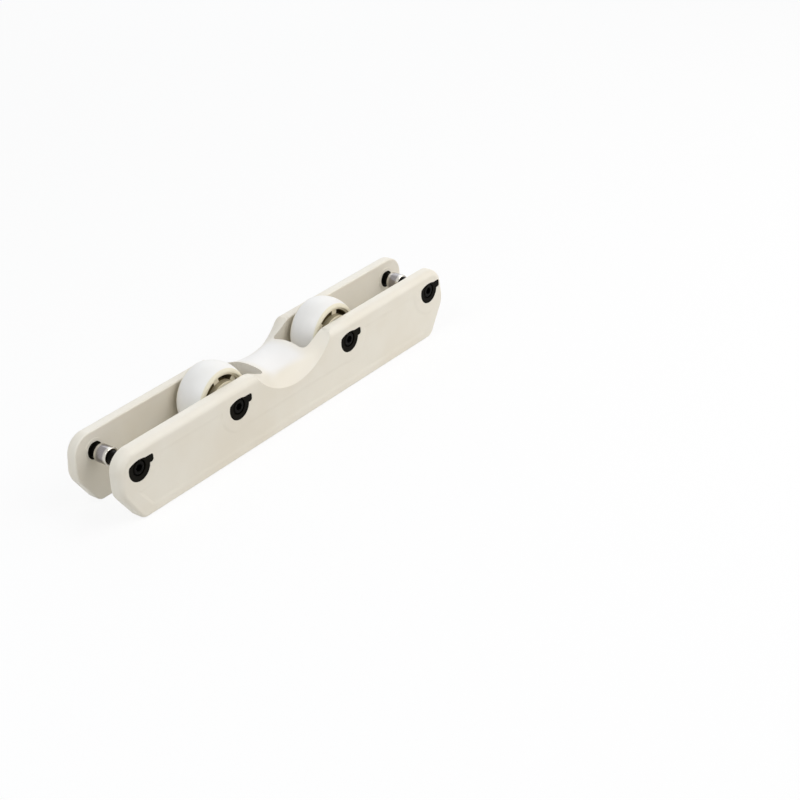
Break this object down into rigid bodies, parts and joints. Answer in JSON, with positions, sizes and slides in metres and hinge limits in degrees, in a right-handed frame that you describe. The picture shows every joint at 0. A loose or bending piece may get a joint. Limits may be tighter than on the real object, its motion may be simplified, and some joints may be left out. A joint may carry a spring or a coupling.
{
  "type": "inline skate frame",
  "caption": "Inline skate frame of white plastic, lying wheels up on its boot face: a grind groove between small middle wheels, black axle inserts, and bare end axles with loose spacers.",
  "frame": {"origin": "centre of the boot face, which is also the bottom of the part as it lies wheels up", "axes": "+X along the frame towards axle 4, +Y across it towards the plate with the screw heads, +Z from the boot face towards the wheels"},
  "size_m": [0.2818, 0.0422, 0.0525],
  "materials": {
    "frame_plastic": "satin moulded plastic, warm white",
    "insert_plastic": "matt black moulded plastic",
    "axle_steel": "steel with a black finish",
    "spacer_metal": "bright turned steel",
    "tyre_urethane": "hard white urethane, satin",
    "core_plastic": "moulded plastic, cream",
    "bearing_steel": "ground bearing steel",
    "cage_steel": "pressed steel",
    "shield_steel": "pressed steel"
  },
  "bodies": {
    "frame": {"chassis": "frame_plastic", "head_insert_1": "insert_plastic", "head_insert_2": "insert_plastic", "head_insert_3": "insert_plastic", "head_insert_4": "insert_plastic", "nut_insert_1": "insert_plastic", "nut_insert_2": "insert_plastic", "nut_insert_3": "insert_plastic", "nut_insert_4": "insert_plastic", "axle_bolt_1": "axle_steel", "axle_bolt_2": "axle_steel", "axle_bolt_3": "axle_steel", "axle_bolt_4": "axle_steel", "axle_screw_1": "axle_steel", "axle_screw_2": "axle_steel", "axle_screw_3": "axle_steel", "axle_screw_4": "axle_steel", "inner_race_2a": "bearing_steel", "inner_race_2b": "bearing_steel", "inner_race_3a": "bearing_steel", "inner_race_3b": "bearing_steel", "hub_spacer_2": "spacer_metal", "hub_spacer_3": "spacer_metal"},
    "wheel_2": {"tyre_2": "tyre_urethane", "wheel_core_2": "core_plastic", "outer_race_2a": "bearing_steel", "outer_race_2b": "bearing_steel", "shields_2a": "shield_steel", "shields_2b": "shield_steel"},
    "cage_2": {"balls_2a": "bearing_steel", "balls_2b": "bearing_steel", "ball_cage_2a": "cage_steel", "ball_cage_2b": "cage_steel"},
    "wheel_3": {"tyre_3": "tyre_urethane", "wheel_core_3": "core_plastic", "outer_race_3a": "bearing_steel", "outer_race_3b": "bearing_steel", "shields_3a": "shield_steel", "shields_3b": "shield_steel"},
    "cage_3": {"balls_3a": "bearing_steel", "balls_3b": "bearing_steel", "ball_cage_3a": "cage_steel", "ball_cage_3b": "cage_steel"},
    "spacer_1": {"loose_spacer_1": "spacer_metal"},
    "spacer_4": {"loose_spacer_4": "spacer_metal"}
  },
  "joints": [
    {"name": "wheel_2_spin", "type": "hinge", "parent": "frame", "child": "wheel_2", "pos_m": [-0.0485, 0, 0.0315], "axis": [0, 1, 0], "continuous": true},
    {"name": "wheel_3_spin", "type": "hinge", "parent": "frame", "child": "wheel_3", "pos_m": [0.0485, 0, 0.0315], "axis": [0, 1, 0], "continuous": true},
    {"name": "cage_2_orbit", "type": "hinge", "parent": "frame", "child": "cage_2", "pos_m": [-0.0485, 0, 0.0315], "axis": [0, 1, 0], "continuous": true},
    {"name": "cage_3_orbit", "type": "hinge", "parent": "frame", "child": "cage_3", "pos_m": [0.0485, 0, 0.0315], "axis": [0, 1, 0], "continuous": true},
    {"name": "spacer_1_slide", "type": "slide", "parent": "frame", "child": "spacer_1", "axis": [0, 1, 0], "range_m": [-0.01155, 0.00355]},
    {"name": "spacer_4_slide", "type": "slide", "parent": "frame", "child": "spacer_4", "axis": [0, 1, 0], "range_m": [-0.01155, 0.00355]}
  ],
  "couplings": [
    {"joint": "cage_2_orbit", "follows": "wheel_2_spin", "ratio": 0.6323},
    {"joint": "cage_3_orbit", "follows": "wheel_3_spin", "ratio": 0.6323}
  ]
}
